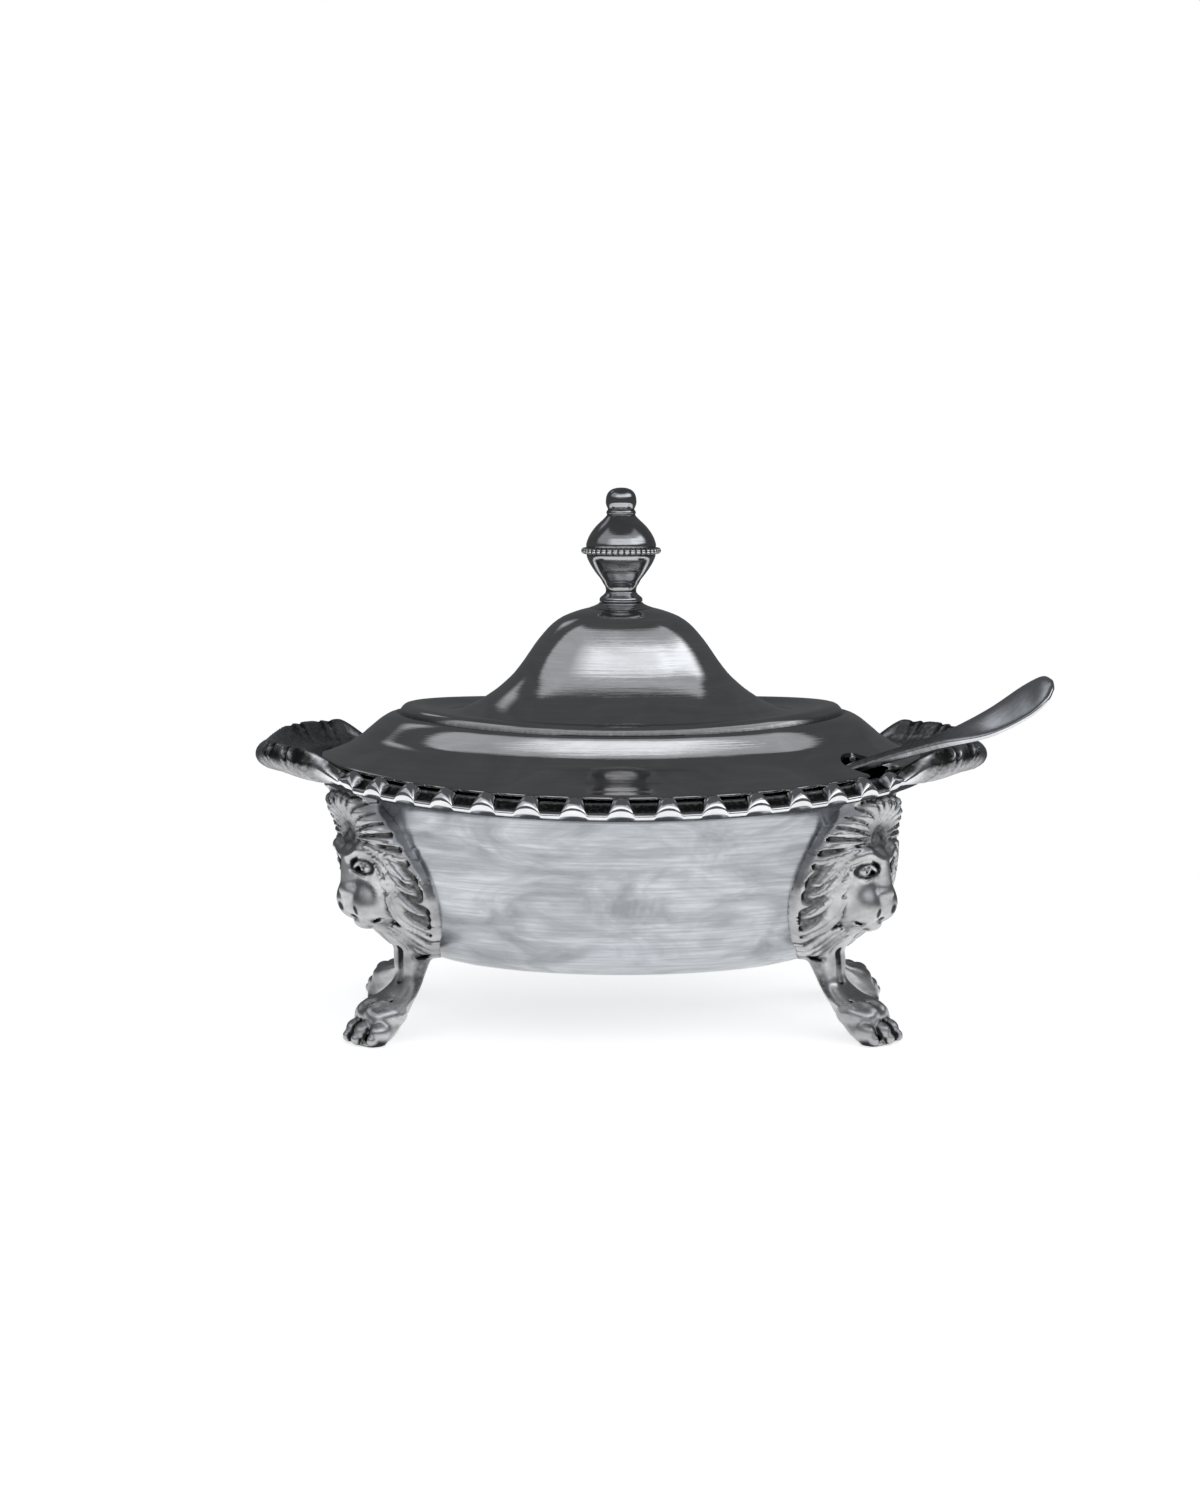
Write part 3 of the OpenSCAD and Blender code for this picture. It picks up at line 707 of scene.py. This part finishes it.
# Height, half-width and mid-thickness of the mane's plate on the bowl
PLATE = [
    [11, -3, 2.0], [12.5, 2.0, 2.2], [14, 6.0, 2.4], [16, 9.0, 2.6], [18, 11.2, 2.8], [20, 12.5, 3.0],
    [22.3, 13.4, 3.2], [25, 13.6, 3.4], [28, 13.0, 3.6], [31, 11.6, 3.8], [34, 9.7, 4.2], [36, 8.2, 5.0],
    [37.5, 6.8, 5.8], [39, 5.4, 6.3], [42, 4.4, 6.5],
]
PLATE_EDGE = 1.9
PLATE_FRONT = 7.2
PLATE_ROUNDING = 0.7
FRONT_ROUNDING = 0.8
# Locks of the mane and the chest as lines of distance from the middle and height
LOCKS = [
    [[3.6, 31.8], [6.3, 31.9], [8.4, 30.7], [10.0, 28.8], [11.4, 27.2]],
    [[5.0, 30.6], [6.6, 30.4], [7.8, 29.5], [8.6, 27.8], [10.1, 26.3], [11.8, 25.4]],
    [[6.3, 29.0], [6.9, 27.6], [8.4, 26.3], [9.2, 24.5], [10.8, 22.8], [12.0, 22.0]],
    [[6.8, 26.3], [7.9, 25.6], [8.4, 24.0], [8.2, 22.2], [9.2, 20.5], [10.8, 19.4], [11.8, 19.0]],
    [[7.3, 24.3], [7.4, 22.6], [7.1, 20.9], [8.0, 19.4], [9.7, 18.4], [10.5, 17.6]],
    [[5.6, 19.0], [7.0, 18.0], [7.9, 16.4], [8.8, 15.0]],
    [[4.6, 18.4], [5.8, 16.7], [6.4, 15.0], [7.0, 13.8]],
    [[3.0, 18.0], [4.2, 16.0], [4.6, 14.2]],
]
# Half-widths along a lock, ripples across it, its height over the hollows, and the painted shade in these
LOCK_WIDTH = [0.75, 1.0, 0.95, 0.45]
LOCK_RIPPLE = 0.42
LOCK_RIPPLE_DEPTH = 0.14
LOCK_NEAR = (1.9, 1.2)
LOCK_HOLLOW = 0.65
LOCK_HEIGHT = 1.05
LOCK_SHADE = 0.62
LOCK_SHADE_FADE = (0.6, 0.05)
# Cell and size of the maps of the locks
LOCK_CELL = 0.1
LOCK_MAP_SIZE = (18, 43)
# Locks that fan out from the forehead: angle from upright in degrees, and reach
FAN_Z = 33.6
FAN_START = 2.3
FAN = [[3, 6.0], [20, 6.2], [36, 6.8], [51, 7.6], [65, 8.3], [79, 9.2], [92, 10.2], [104, 11.2]]
FAN_WIDTH = [0.3, 0.5, 0.7, 0.75]
# Height, middle, half-depth and half-width of the shin and the paw
SHIN = [
    [0, 4.4, 2.1, 4.1], [1.5, 3.2, 3.0, 4.6], [3, 2.1, 3.2, 4.7], [5, 1.0, 3.9, 4.5], [6.2, -0.3, 3.4, 4.2],
    [7, -1.9, 2.4, 3.8], [8.6, -3.6, 1.9, 3.2], [10, -4.3, 1.9, 3.1], [11.7, -4.7, 2.2, 3.6],
    [14.5, -5.4, 2.7, 4.4], [17, -5.2, 2.4, 4.2], [19.5, -3.6, 1.2, 2.4], [20.5, -3, 0.3, 0.5],
]
SHIN_SQUARENESS = 2.5
SHIN_BLEND = 1.6
# The head, and the oval on it that the hair keeps clear of
HEAD_CENTER = [0.5, 0, 26.2]
HEAD_RADII = [5.0, 7.3, 8.2]
HEAD_BLEND = 2.0
FACE_Z = 25.3
FACE_HALF_WIDTH = 6.9
FACE_HALF_HEIGHT = 8.2
HAIR_FADE = (0.9, 1.1)
HAIR_MARGIN = (0.1, 0.6)
# Toes on each side: place sideways, and how far back
TOES = ((1.3, 0.0), (3.6, 1.5))
# How far off the surface open space is looked for, and the closed shares where the oxide and painted shade
# start and end
SKY_REACHES = (0.4, 0.9, 1.6, 2.4)
SKY_SHADE = (0.14, 0.58)


def blend_in(a, b, k):
    """Smooth union of two fields."""
    h = np.clip(0.5 + 0.5 * (b - a) / k, 0, 1)
    return b + (a - b) * h - k * h * (1 - h)


def carve(a, b, k):
    """Field a with field b cut out of it, smoothly."""
    return -blend_in(-a, b, k)


def egg(place, center, radii):
    """Field of an egg, in places out, sideways and up."""
    du, ds, dz = ((p - c) / r for p, c, r in zip(place, center, radii))
    ru, rs, rz = radii
    inner = np.sqrt(du**2 + ds**2 + dz**2) + 1e-6
    outer = np.sqrt((du / ru) ** 2 + (ds / rs) ** 2 + (dz / rz) ** 2) + 1e-6
    return inner * (inner - 1) / outer


def bar(place, start, start_r, end, end_r):
    """Field of a round bar that tapers between its ends."""
    line = np.array(end, float) - start
    du, ds, dz = (p - c for p, c in zip(place, start))
    h = np.clip((du * line[0] + ds * line[1] + dz * line[2]) / (line @ line), 0, 1)
    gap = np.sqrt((du - h * line[0]) ** 2 + (ds - h * line[1]) ** 2 + (dz - h * line[2]) ** 2)
    return gap - (start_r + (end_r - start_r) * h)


def sample(array, points):
    """Values of a grid at fractional grid places."""
    top = np.array(array.shape) - 2
    base = np.clip(np.floor(points).astype(int), 0, top)
    share = np.clip(points - base, 0, 1)
    value = 0
    for corner in np.ndindex(*[2] * array.ndim):
        weight = np.prod(np.where(corner, share, 1 - share), axis=1)
        value = value + weight * array[tuple((base + corner).T)]
    return value


def lock_maps():
    """Maps over distance from the middle and height: crests of the locks, and where locks are near."""
    s, z = np.meshgrid(*(np.arange(0, size, LOCK_CELL) for size in LOCK_MAP_SIZE), indexing="ij")
    relief = np.zeros(s.shape)
    near = np.zeros(s.shape)
    locks = []
    for degrees, reach in FAN:
        angle = math.radians(degrees)
        radius = np.linspace(FAN_START, reach, 4)
        line = np.stack([radius * math.sin(angle), FAN_Z + radius * math.cos(angle)], 1)
        locks.append((line, FAN_WIDTH))
    locks += [(line, LOCK_WIDTH) for line in LOCKS]
    for line, widths in locks:
        path = spline(line, 10)
        share = np.linspace(0, 1, len(path))
        gaps = np.hypot(s[..., None] - path[:, 0], z[..., None] - path[:, 1])
        gap = gaps.min(-1)
        width = np.interp(share, np.linspace(0, 1, len(widths)), widths)[gaps.argmin(-1)]
        round_top = np.sqrt(np.clip(1 - (gap / width) ** 2, 0, 1))
        ripple = 1 - LOCK_RIPPLE_DEPTH + LOCK_RIPPLE_DEPTH * np.cos(2 * np.pi * gap / LOCK_RIPPLE)
        relief = np.maximum(relief, round_top * ripple)
        near = np.maximum(near, smoothstep(*LOCK_NEAR, gap))
    return relief, near


def leg_to_pot(u, v):
    """The pot's x and y of places in the frame of the right front leg."""
    x = LEG_X + u * math.cos(LEG_ANGLE) - v * math.sin(LEG_ANGLE)
    y = -LEG_Y + u * math.sin(LEG_ANGLE) + v * math.cos(LEG_ANGLE)
    return x, y


def from_bowl(x, y, level):
    """Rough distance outwards from the bowl's wall."""
    side_line = spline(BOWL_LINE[2:], 4)
    # Just under the floor the oval shrinks to almost nothing
    a = np.interp(level, np.r_[BOWL_FLOOR - 0.6, side_line[:, 1]], np.r_[1.0, side_line[:, 0]])
    b = half_width(a)
    ratio = np.hypot(x / a, y / b)
    return (ratio - 1) * ratio / np.hypot(x / a**2, y / b**2)


def mane(place, bowl, lock_map, near_map):
    """Field of plate, shin and head with the locks cut in, and the painted shade between the locks."""
    u, s, z = place
    plate = spline(PLATE, 6)
    half, middle = (np.interp(z, plate[:, 0], plate[:, k]) for k in (1, 2))
    thick = PLATE_EDGE + (middle - PLATE_EDGE) * np.clip(1 - (s / np.maximum(half, 1)) ** 4, 0, 1)
    d = -blend_in(thick - bowl, half - s, PLATE_ROUNDING)
    d = -blend_in(-d, PLATE_FRONT - u, FRONT_ROUNDING)
    shin = spline(SHIN, 6)
    center, depth, width = (np.interp(z, shin[:, 0], shin[:, k]) for k in (1, 2, 3))
    oval = (abs(u - center) / depth) ** SHIN_SQUARENESS + (s / width) ** SHIN_SQUARENESS
    d = blend_in(d, (oval ** (1 / SHIN_SQUARENESS) - 1) * np.minimum(depth, width), SHIN_BLEND)
    d = blend_in(d, egg(place, HEAD_CENTER, HEAD_RADII), HEAD_BLEND)
    from_face = (s / FACE_HALF_WIDTH) ** 2 + ((z - FACE_Z) / FACE_HALF_HEIGHT) ** 2
    inward = (half - margin for margin in HAIR_MARGIN)
    hair = smoothstep(*HAIR_FADE, from_face) * smoothstep(*inward, s)
    spots = np.stack([s, z], -1).reshape(-1, 2) / LOCK_CELL
    relief, near = (sample(chart, spots).reshape(s.shape) for chart in (lock_map, near_map))
    d = d + hair * near * (LOCK_HOLLOW - LOCK_HEIGHT * relief)
    return d, LOCK_SHADE * hair * near * smoothstep(*LOCK_SHADE_FADE, relief)


def face(d, dark, place):
    """The field with muzzle, brow, eyes and mouth, and its painted shade in the forehead, round the eyes
    and in the nostrils.
    """
    u, s, z = place
    # Cheeks, muzzle and chin
    d = blend_in(d, egg(place, [3.4, 2.6, 22.7], [3.1, 3.2, 3.3]), 1.6)
    d = blend_in(d, egg(place, [4.3, 0, 23.0], [2.1, 2.2, 2.6]), 0.9)
    d = blend_in(d, egg(place, [2.8, 0, 19.5], [2.3, 2.4, 1.4]), 0.4)
    # Bridge and tip of the nose, brow, and the hollow of the forehead with painted shade
    d = blend_in(d, bar(place, [5.2, 0, 30.6], 1.6, [5.9, 0, 25.6], 1.35), 0.8)
    d = blend_in(d, egg(place, [6.1, 0, 24.6], [1.3, 1.8, 1.2]), 0.8)
    d = blend_in(d, bar(place, [5.8, 1.3, 30.4], 1.0, [5.3, 3.4, 31.5], 1.05), 0.5)
    d = blend_in(d, bar(place, [5.3, 3.4, 31.5], 1.05, [3.5, 6.1, 30.7], 0.85), 0.5)
    d = carve(d, egg(place, [9.3, 0, 34.6], [3.8, 5.6, 3.6]), 1.6)
    forehead = np.hypot(s / 4.6, (z - 33.9) / 2.4)
    dark = np.maximum(dark, 0.45 * smoothstep(1.5, 0.6, forehead))
    # Eye sockets, eyeballs and pupils, with a ring of painted shade round each eye
    d = carve(d, egg(place, [5.6, 3.8, 28.8], [1.9, 2.3, 1.4]), 0.3)
    d = blend_in(d, egg(place, [4.15, 3.8, 28.8], [1.4, 1.6, 1.05]), 0.1)
    d = carve(d, egg(place, [5.5, 3.9, 28.8], [0.45, 0.5, 0.5]), 0.1)
    eye = np.hypot((s - 3.8) / 2.2, (z - 28.8) / 1.3)
    dark = np.maximum(dark, 0.9 * smoothstep(0.55, 0.75, eye) * smoothstep(1.15, 0.95, eye))
    # Upper and lower eyelids, each in two stretches
    d = blend_in(d, bar(place, [6.0, 1.7, 28.3], 0.38, [5.3, 3.7, 30.1], 0.48), 0.15)
    d = blend_in(d, bar(place, [5.3, 3.7, 30.1], 0.48, [3.5, 6.2, 29.2], 0.38), 0.15)
    d = blend_in(d, bar(place, [5.8, 1.7, 28.1], 0.32, [4.9, 3.9, 27.4], 0.4), 0.15)
    d = blend_in(d, bar(place, [4.9, 3.9, 27.4], 0.4, [3.5, 6.0, 28.7], 0.32), 0.15)
    # Mouth, fold of the cheek, and nostrils with painted shade
    d = carve(d, bar(place, [5.0, 0.3, 20.9], 0.35, [3.4, 5.2, 20.2], 0.45), 0.3)
    d = carve(d, bar(place, [5.2, 5.9, 25.6], 0.5, [4.6, 6.4, 21.6], 0.45), 0.5)
    nostril = np.hypot((s - 2.4) / 0.8, (z - 21.8) / 0.9)
    dark = np.maximum(dark, 0.85 * smoothstep(1.1, 0.7, nostril) * (u > 4))
    return d, dark


def paw(d, place, far):
    """The field with the shin's channel, toes and claws. The outer toe is on the near side only."""
    d = carve(d, bar(place, [-3.0, 0, 14.2], 0.6, [-2.3, 0, 9.4], 0.7), 0.8)
    for side, back in TOES:
        knuckle = egg(place, [2.6 - back, side, 4.9 - 0.2 * back], [2.4, 1.25, 1.7])
        tip = egg(place, [5.2 - back, side * 1.04, 2.2], [1.9, 1.2, 1.6])
        claw = egg(place, [6.8 - back, side * 1.06, 1.2], [1.0, 0.65, 1.0])
        for part, blend in ((knuckle, 0.3), (tip, 0.25), (claw, 0.15)):
            d = np.where(far & (back > 0), d, blend_in(d, part, blend))
    # Grooves between the toes
    d = np.where(far, d, carve(d, bar(place, [0.6, 2.4, 6.4], 0.35, [5.4, 2.5, 1.2], 0.45), 0.4))
    return carve(d, bar(place, [2.2, 0, 6.5], 0.3, [6.6, 0, 1.2], 0.4), 0.4)


def leg_field(u, v, z, tilt, lock_map, near_map):
    """Signed distance to a leg whose mask leans sideways by the tilt, and the painted shade in its hollows.
    """
    x, y = leg_to_pot(u, v)
    level = z - rise(x, z)
    bowl = from_bowl(x, y, level)
    middle = tilt * (z - LEG_TILT_Z)
    place = (u, np.sqrt((v - middle) ** 2 + MIDDLE_ROUNDING), z)
    d, dark = mane(place, bowl, lock_map, near_map)
    d, dark = face(d, dark, place)
    d = paw(d, place, v > middle)
    # Let into the bowl's wall a little, ended under its flange and cut flat on the floor
    d = np.maximum(d, -bowl - LEG_INLET)
    d = np.maximum(d, level - FLANGE_Z)
    return np.maximum(d, -z), dark


def without_bits(field):
    """The field without the bits of solid that touch the main body at the corners of the grid only."""
    inside = field < 0
    body = np.zeros_like(inside)
    body[np.unravel_index(field.argmin(), field.shape)] = True
    count = 0
    while body.sum() > count:
        count = body.sum()
        for axis in range(3):
            along = np.moveaxis(body, axis, 0)
            along[1:] |= along[:-1].copy()
            along[:-1] |= along[1:].copy()
            body &= inside
    return np.where(inside & ~body, LEG_STEP / 4, field)


def surface_net(field, low, step):
    """Points, faces and unit normals of the field's zero surface."""
    inside = field < 0
    shape = np.array(field.shape) - 1
    corners = [(i, j, k) for i in (0, 1) for j in (0, 1) for k in (0, 1)]

    def shifted(array, corner):
        return array[tuple(slice(c, c + n) for c, n in zip(corner, shape))]

    full = sum(shifted(inside, c).astype(np.int8) for c in corners)
    active = (full > 0) & (full < 8)
    cells = np.argwhere(active)
    index = np.full(active.shape, -1)
    index[active] = np.arange(len(cells))
    total = np.zeros((len(cells), 3))
    hits = np.zeros(len(cells))
    for axis in range(3):
        unit = np.eye(3, dtype=int)[axis]
        for corner in corners:
            if corner[axis]:
                continue
            start = cells + np.array(corner)
            a = field[tuple(start.T)]
            b = field[tuple((start + unit).T)]
            cross = (a < 0) != (b < 0)
            share = np.where(cross, a / np.where(cross, a - b, 1), 0)
            total += np.where(cross[:, None], start + share[:, None] * unit, 0)
            hits += cross
    points = total / hits[:, None]
    faces = []
    for axis in range(3):
        j, k = (axis + 1) % 3, (axis + 2) % 3
        here = np.take(inside, range(field.shape[axis] - 1), axis)
        there = np.take(inside, range(1, field.shape[axis]), axis)
        edges = np.argwhere(here != there)
        sides = edges[:, [j, k]]
        edges = edges[((sides > 0) & (sides < shape[[j, k]])).all(1)]
        leaving = here[tuple(edges.T)]
        ring = []
        for dj, dk in ((1, 1), (0, 1), (0, 0), (1, 0)):
            cell = edges.copy()
            cell[:, j] -= dj
            cell[:, k] -= dk
            ring.append(index[tuple(cell.T)])
        quads = np.stack(ring, 1)
        faces.append(np.where(leaving[:, None], quads, quads[:, ::-1]))
    slope = np.gradient(field)
    normals = np.stack([sample(g, points) for g in slope], 1)
    normals /= np.linalg.norm(normals, axis=1, keepdims=True) + 1e-9
    return points * step + low, np.vstack(faces), normals


def legs():
    """Four legs from two fields: the back ones mirror the front ones."""
    axes = [np.arange(low, high, LEG_STEP) for low, high in zip(LEG_LOW, LEG_HIGH)]
    maps = lock_maps()
    for end, x_sign, tilt in (("right", 1, -LEG_TILT), ("left", -1, LEG_TILT)):
        field, dark = leg_field(*np.meshgrid(*axes, indexing="ij"), tilt, *maps)
        field = -without_bits(-without_bits(field))
        points, faces, normals = surface_net(field, LEG_LOW, LEG_STEP)
        # Painted shade and oxide where the surface is closed in, joined with the painted shade of mane and
        # face
        open_sky = 0
        for reach in SKY_REACHES:
            ahead = (points + reach * normals - LEG_LOW) / LEG_STEP
            open_sky = open_sky + np.clip(sample(field, ahead) / reach, -0.5, 1) / len(SKY_REACHES)
        oxide_and_shade = smoothstep(*SKY_SHADE, 1 - open_sky)
        oxide_and_shade = np.maximum(oxide_and_shade, sample(dark, (points - LEG_LOW) / LEG_STEP))
        turned = np.stack([*leg_to_pot(points[:, 0], points[:, 1]), points[:, 2]], 1)
        for side, y_sign in (("front", 1), ("back", -1)):
            name = f"leg_{side}_{end}"
            placed = turned * [x_sign, y_sign, 1]
            order = faces if x_sign * y_sign > 0 else faces[:, ::-1]
            piece(f"lion_{name}", placed, order.tolist(), LEG_SILVER, "pot", [name], oxide_and_shade)


legs()

# The stage: a pale floor that takes the shadow, and a wide soft sun that reflections don't show
FLOOR_R = 0.36
FLOOR_Y = -0.24
FLOOR_SIDES = 64
FLOOR_TONE = (0.88, 0.88, 0.88, 1)
FLOOR_MOTTLE = (0.8668, 0.8668, 0.8668, 1)
FLOOR_GLOW = 0.62
SUN_ENERGY = 1.0
SUN_ANGLE = math.radians(90)


def floor():
    """A disc that glows for the camera, in reflections and through glass."""
    graph = material_graph("pale_floor")
    where = graph.node("ShaderNodeTexCoord").outputs["Object"]
    graph.set(Base_Color=graph.mix(graph.noise(where, 3, 2), FLOOR_TONE, FLOOR_MOTTLE), Roughness=0.9)
    path = graph.node("ShaderNodeLightPath").outputs
    seen = graph.math("ADD", path["Is Camera Ray"], path["Is Glossy Ray"])
    seen = graph.math("ADD", seen, path["Is Transmission Ray"])
    graph.set(Specular_IOR_Level=0.1, Emission_Color=(1, 1, 1, 1))
    graph.set(Emission_Strength=graph.math("MULTIPLY", seen, FLOOR_GLOW))
    points = []
    for angle in np.linspace(0, 2 * np.pi, FLOOR_SIDES, endpoint=False):
        points.append((FLOOR_R * math.cos(angle), FLOOR_Y + FLOOR_R * math.sin(angle), 0))
    mesh = bpy.data.meshes.new("floor")
    mesh.from_pydata(points, [], [list(range(FLOOR_SIDES))])
    mesh.materials.append(graph.owner)
    obj = bpy.data.objects.new("floor", mesh)
    bpy.context.collection.objects.link(obj)


floor()
sun = bpy.data.objects.new("floor_sun", bpy.data.lights.new("floor_sun", "SUN"))
sun.data.energy = SUN_ENERGY
sun.data.angle = SUN_ANGLE
sun.visible_glossy = False
bpy.context.collection.objects.link(sun)

# The room: its dim level and tint, and its patches of light in degrees up and to the right of the front.
# Each patch has its low and high edge, left and right edge, softness up and sideways, and radiance.
ROOM_LEVEL = 0.105
ROOM_TINT = (0.94, 0.97, 1.02, 1)
ROOM_WHITE = (1, 1, 1, 1)
PALE_WALL = (24, 58, -95, 95, 1.5, 3, 0.46)
FRONT_WINDOW = (24, 43.5, -42, 42, 1.5, 12, 0.85)
RIGHT_WINDOW = (24, 42, 40, 95, 1.5, 8, 1.1)
FAINT_LIGHT_BEHIND = (36, 48, -144, -127, 3, 4, 0.45)


def room():
    """A dim room with a pale wall and windows in reflections, and white where the camera sees it."""
    world = bpy.data.worlds.new("dim_room")
    graph = Graph(world, "Background")
    way = graph.node("ShaderNodeTexCoord").outputs["Generated"]
    x, y, z = graph.node("ShaderNodeSeparateXYZ", {0: way}).outputs
    front = graph.math("MULTIPLY", y, -1)
    to_right = graph.math("MULTIPLY", graph.math("ARCTAN2", x, front), 180 / math.pi)
    up = graph.math("MULTIPLY", graph.math("ARCSINE", z, 0), 180 / math.pi)
    level = ROOM_LEVEL
    for patch in (PALE_WALL, FRONT_WINDOW, RIGHT_WINDOW, FAINT_LIGHT_BEHIND):
        low, high, left, right, soft, fade, radiance = patch
        tall = graph.window(up, low, high, soft)
        wide = graph.window(to_right, left, right, fade)
        glow = graph.math("MULTIPLY", graph.math("MULTIPLY", tall, wide), radiance)
        level = graph.math("ADD", level, glow)
    seen = graph.node("ShaderNodeLightPath").outputs["Is Camera Ray"]
    unseen = graph.math("SUBTRACT", 1.0, seen)
    graph.set(Color=graph.mix(seen, ROOM_TINT, ROOM_WHITE))
    graph.set(Strength=graph.math("ADD", graph.math("MULTIPLY", level, unseen), seen))
    bpy.context.scene.world = world


room()

# The camera of the photograph
CAMERA_PLACE = (-0.00034, -0.39275, 0.09406)
CAMERA_DOWN = math.radians(7.096)
CAMERA_TURN = math.radians(0.4524)
CAMERA_LENS = 57.6
camera = bpy.data.objects.new("camera", bpy.data.cameras.new("camera"))
camera.data.lens = CAMERA_LENS
camera.data.sensor_width = 36
camera.data.clip_start = 0.01
camera.location = CAMERA_PLACE
camera.rotation_euler = (math.pi / 2 - CAMERA_DOWN, 0, CAMERA_TURN)
bpy.context.collection.objects.link(camera)
bpy.context.scene.camera = camera
bpy.context.scene.view_settings.view_transform = "Standard"
